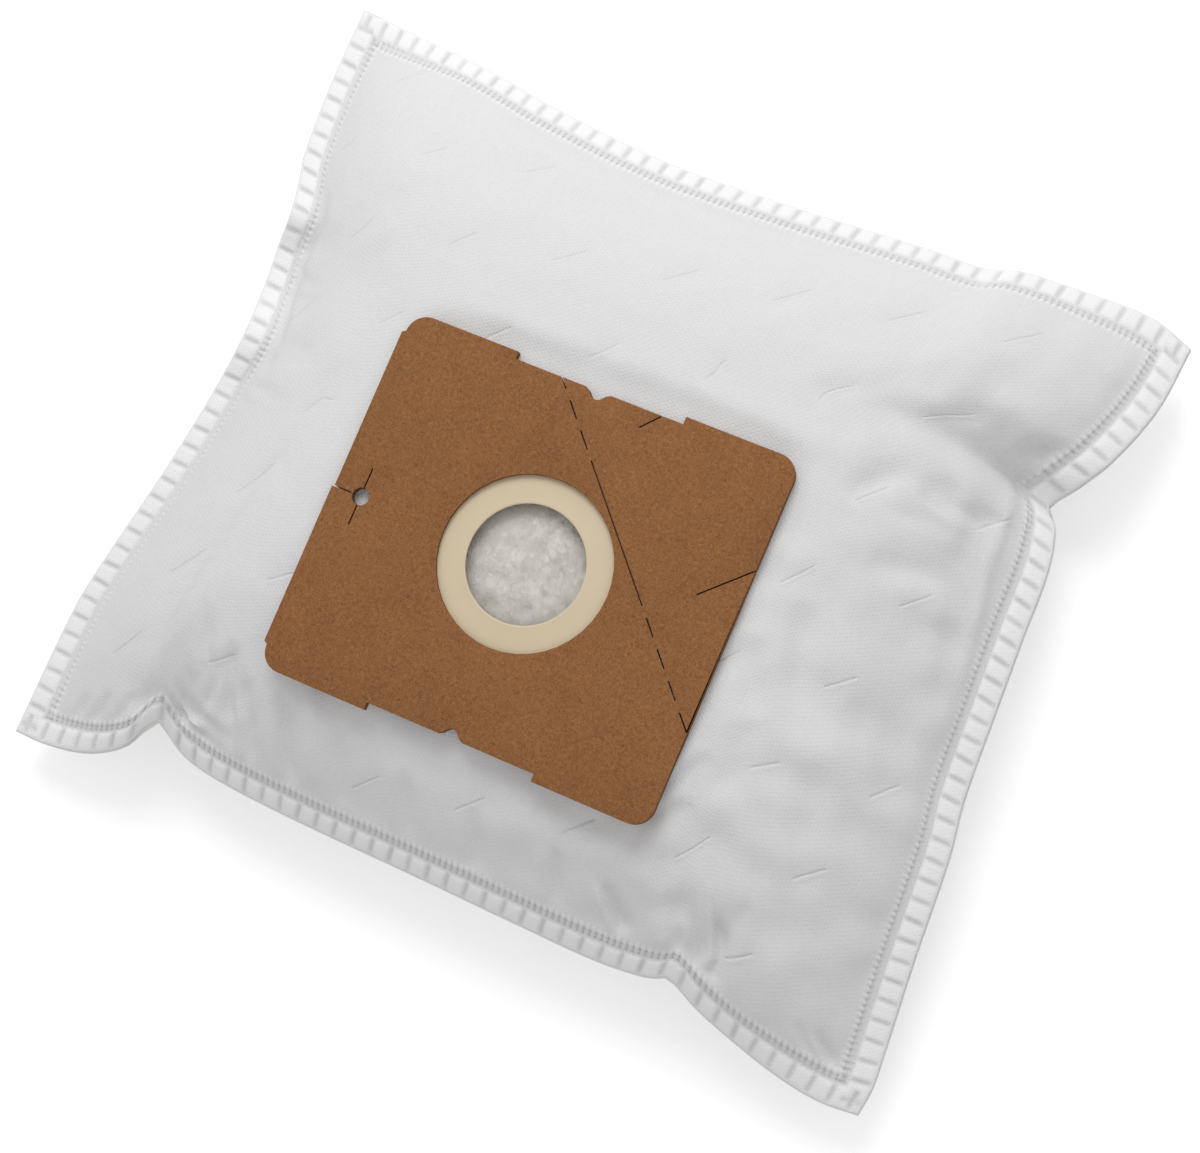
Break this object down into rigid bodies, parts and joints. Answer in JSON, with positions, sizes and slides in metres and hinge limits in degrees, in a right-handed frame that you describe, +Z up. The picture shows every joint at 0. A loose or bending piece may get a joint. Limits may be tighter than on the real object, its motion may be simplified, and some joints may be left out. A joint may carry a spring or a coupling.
{
  "type": "vacuum dust bag",
  "caption": "Soft layered fleece dust bag for a vacuum cleaner, puffed up and lying flat, with a die-cut card holder plate and a rubber sealing ring round its inlet.",
  "frame": {"origin": "below the middle of the bag, on the surface that it lies on", "axes": "+X along the bag's long side, +Y towards its back side, +Z up out of the holder plate"},
  "size_m": [0.277, 0.2438, 0.056],
  "materials": {
    "spunbond_outer": "fine embossed non-woven, matt with a slight sheen",
    "inner_fleece": "fluffy loose fibres, matt",
    "kraft_card": "brown kraft board with fine fibre specks, matt",
    "cream_rubber": "smooth cream rubber, satin"
  },
  "bodies": {
    "root": {"back_outer_sheet": "spunbond_outer", "back_inner_fleece": "inner_fleece", "front_inner_fleece": "inner_fleece", "front_outer_sheet": "spunbond_outer", "plate_base_card": "kraft_card", "sealing_ring": "cream_rubber", "plate_top_card": "kraft_card"}
  },
  "joints": []
}
